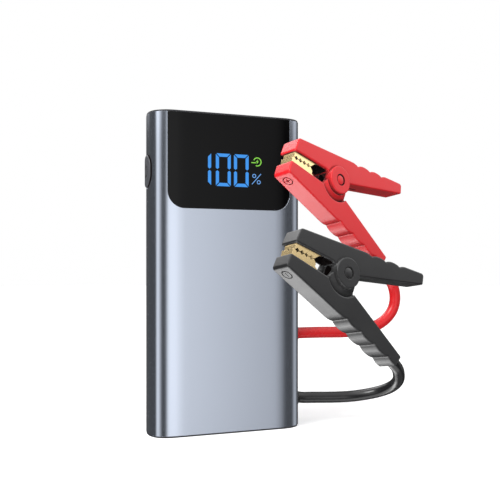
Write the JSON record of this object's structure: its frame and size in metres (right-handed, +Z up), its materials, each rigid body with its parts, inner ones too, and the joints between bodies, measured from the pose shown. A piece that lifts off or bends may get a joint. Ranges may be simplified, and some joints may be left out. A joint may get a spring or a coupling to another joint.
{
  "type": "jump starter pack",
  "caption": "Slim portable car jump starter in an aluminium sleeve, with a display, side button, and red and black battery clamps on short leads.",
  "frame": {"origin": "middle of the bottom cap's outer face, on which the pack stands", "axes": "+Z up along the pack's height, -Y the way the display faces, +X towards the side where the leads leave"},
  "size_m": [0.1607, 0.0778, 0.172],
  "materials": {
    "anodised": "satin anodised",
    "cap_plastic": "matt",
    "window": "polished",
    "button_plastic": "satin",
    "board": "solder mask",
    "frame_plastic": "matt",
    "foam": "open foam",
    "cell_foil": "laminated foil",
    "copper": "bright",
    "can": "shrink sleeve",
    "gilt": "gold-coloured plating",
    "steel": "plain",
    "tongue_plastic": "moulded",
    "lens": "clear",
    "led": "phosphor",
    "gland_rubber": "matt",
    "red_silicone": "satin",
    "black_silicone": "satin",
    "red_plastic": "satin moulded",
    "black_plastic": "satin moulded"
  },
  "bodies": {
    "pack": {"sleeve": "anodised", "top_cap": "cap_plastic", "bottom_cap": "cap_plastic", "cap_screws": "steel", "display_window": "window", "display_board": "board", "button_bezel": "cap_plastic", "button_switch": "board", "chassis": "frame_plastic", "foam_pad": "foam", "cell_front": "cell_foil", "cell_middle": "cell_foil", "cell_rear": "cell_foil", "cell_tabs": "copper", "main_board": "board", "capacitors": "can", "transistors": "cap_plastic", "lead_terminals": "gilt", "usb_a_shell": "steel", "usb_a_tongue": "tongue_plastic", "usb_c_shell": "steel", "usb_c_tongue": "cap_plastic", "lamp_lens": "lens", "lamp_led": "led", "red_gland": "gland_rubber", "black_gland": "gland_rubber", "red_inner_lead": "red_silicone", "black_inner_lead": "black_silicone", "red_cord": "red_silicone", "black_cord": "black_silicone", "red_lower_lever": "red_plastic", "red_lower_jaw": "gilt", "red_lower_screw": "steel", "red_pin": "steel", "red_pin_caps": "red_plastic", "red_spring": "steel", "red_lead_tail": "red_silicone", "red_lug": "copper", "black_lower_lever": "black_plastic", "black_lower_jaw": "gilt", "black_lower_screw": "steel", "black_pin": "steel", "black_pin_caps": "black_plastic", "black_spring": "steel", "black_lead_tail": "black_silicone", "black_lug": "copper"},
    "button": {"power_button": "button_plastic"},
    "red_upper": {"red_upper_lever": "red_plastic", "red_upper_jaw": "gilt", "red_upper_screw": "steel"},
    "black_upper": {"black_upper_lever": "black_plastic", "black_upper_jaw": "gilt", "black_upper_screw": "steel"}
  },
  "joints": [
    {"name": "button_press", "type": "slide", "parent": "pack", "child": "button", "axis": [1, 0, 0], "range_m": [0, 0.0006], "stiffness_N_per_m": 400, "springref_m": -0.0005},
    {"name": "red_clamp_hinge", "type": "hinge", "parent": "pack", "child": "red_upper", "pos_m": [0.059, -0.01308, 0.13715], "axis": [-0.3896, 0.9105, -0.1386], "range_deg": [0, 28], "stiffness_Nm_per_rad": 0.6, "springref_deg": -20.05, "deforming": ["red_spring"]},
    {"name": "black_clamp_hinge", "type": "hinge", "parent": "pack", "child": "black_upper", "pos_m": [0.04798, -0.04497, 0.08539], "axis": [-0.2964, 0.9435, -0.1484], "range_deg": [0, 28], "stiffness_Nm_per_rad": 0.6, "springref_deg": -20.05, "deforming": ["black_spring"]}
  ]
}
